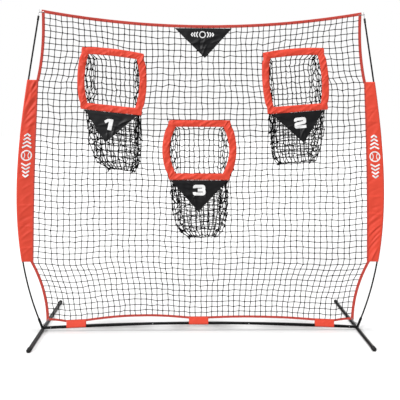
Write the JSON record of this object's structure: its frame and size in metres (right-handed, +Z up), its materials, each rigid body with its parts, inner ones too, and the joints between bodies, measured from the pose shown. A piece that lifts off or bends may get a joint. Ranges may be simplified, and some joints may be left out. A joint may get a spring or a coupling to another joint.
{
  "type": "pitching target net",
  "caption": "Bow-framed practice net on two foot bars, with numbered catch pockets behind square red mouths.",
  "frame": {"origin": "on the floor, midway between the foot bars and midway along them", "axes": "+Z up, +X to the right across the net, and the face that balls are thrown at faces -Y"},
  "size_m": [2.7798, 1.18, 2.4049],
  "materials": {
    "black_steel": "satin black powder coat",
    "black_fibreglass": "smooth black resin over glass fibre",
    "black_rubber": "matt moulded rubber",
    "zinc": "bright zinc plate",
    "red_nylon": "woven coated nylon, slight sheen",
    "red_webbing": "folded woven tape",
    "black_nylon": "woven coated nylon, slight sheen",
    "black_netting": "knotted twine",
    "elastic": "braided elastic cord"
  },
  "bodies": {
    "net_and_frame": {"base_tab_centre": "red_nylon", "base_tab_left": "red_nylon", "base_tab_right": "red_nylon", "base_tube_centre": "black_steel", "base_tube_left": "black_steel", "base_tube_right": "black_steel", "border_bottom": "red_webbing", "border_lower_left": "red_webbing", "border_lower_right": "red_webbing", "border_top": "red_webbing", "border_upper_left": "red_webbing", "border_upper_right": "red_webbing", "corner_loop_bottom_left": "elastic", "corner_loop_bottom_right": "elastic", "corner_loop_top_left": "elastic", "corner_loop_top_right": "elastic", "foot_arm_front_left": "black_steel", "foot_arm_front_right": "black_steel", "foot_arm_rear_left": "black_steel", "foot_arm_rear_right": "black_steel", "foot_cap_front_left": "black_rubber", "foot_cap_front_right": "black_rubber", "foot_cap_rear_left": "black_rubber", "foot_cap_rear_right": "black_rubber", "hub_left": "black_steel", "hub_right": "black_steel", "net_panel": "black_netting", "pocket_frame_1": "red_nylon", "pocket_frame_2": "red_nylon", "pocket_frame_3": "red_nylon", "pocket_net_1": "black_netting", "pocket_net_2": "black_netting", "pocket_net_3": "black_netting", "pole_ferrule_left": "zinc", "pole_ferrule_right": "zinc", "pole_lower_left": "black_fibreglass", "pole_lower_right": "black_fibreglass", "pole_tip_cap_left": "black_rubber", "pole_tip_cap_right": "black_rubber", "pole_tip_pin_left": "zinc", "pole_tip_pin_right": "zinc", "pole_upper_left": "black_fibreglass", "pole_upper_right": "black_fibreglass", "side_sleeve_left": "red_nylon", "side_sleeve_right": "red_nylon"},
    "pocket_pennant_1": {"pocket_pennant_1": "black_nylon"},
    "pocket_pennant_2": {"pocket_pennant_2": "black_nylon"},
    "pocket_pennant_3": {"pocket_pennant_3": "black_nylon"},
    "snap_button_inner_left": {"snap_button_inner_left": "zinc"},
    "snap_button_inner_right": {"snap_button_inner_right": "zinc"},
    "snap_button_outer_left": {"snap_button_outer_left": "zinc"},
    "snap_button_outer_right": {"snap_button_outer_right": "zinc"},
    "top_pennant": {"top_pennant": "black_nylon"}
  },
  "joints": [
    {"name": "button_press_inner_left", "type": "slide", "parent": "net_and_frame", "child": "snap_button_inner_left", "axis": [0, 1, 0], "range_m": [0, 0.003], "stiffness_N_per_m": 1200, "springref_m": -0.002},
    {"name": "button_press_inner_right", "type": "slide", "parent": "net_and_frame", "child": "snap_button_inner_right", "axis": [0, 1, 0], "range_m": [0, 0.003], "stiffness_N_per_m": 1200, "springref_m": -0.002},
    {"name": "button_press_outer_left", "type": "slide", "parent": "net_and_frame", "child": "snap_button_outer_left", "axis": [0, 1, 0], "range_m": [0, 0.003], "stiffness_N_per_m": 1200, "springref_m": -0.002},
    {"name": "button_press_outer_right", "type": "slide", "parent": "net_and_frame", "child": "snap_button_outer_right", "axis": [0, 1, 0], "range_m": [0, 0.003], "stiffness_N_per_m": 1200, "springref_m": -0.002},
    {"name": "pennant_lift_1", "type": "hinge", "parent": "net_and_frame", "child": "pocket_pennant_1", "pos_m": [-0.67172, -0.1286, 1.6723], "axis": [-0.9945, 0, 0.1044], "range_deg": [0, 90]},
    {"name": "pennant_lift_2", "type": "hinge", "parent": "net_and_frame", "child": "pocket_pennant_2", "pos_m": [0.71257, -0.1286, 1.6813], "axis": [-0.9965, 0, -0.0837], "range_deg": [0, 90]},
    {"name": "pennant_lift_3", "type": "hinge", "parent": "net_and_frame", "child": "pocket_pennant_3", "pos_m": [-0.018, -0.1286, 1.1703], "axis": [-1, 0, 0], "range_deg": [0, 90]},
    {"name": "top_pennant_lift", "type": "hinge", "parent": "net_and_frame", "child": "top_pennant", "pos_m": [0.006, -0.1286, 2.2818], "axis": [-1, 0, 0], "range_deg": [0, 90]}
  ]
}
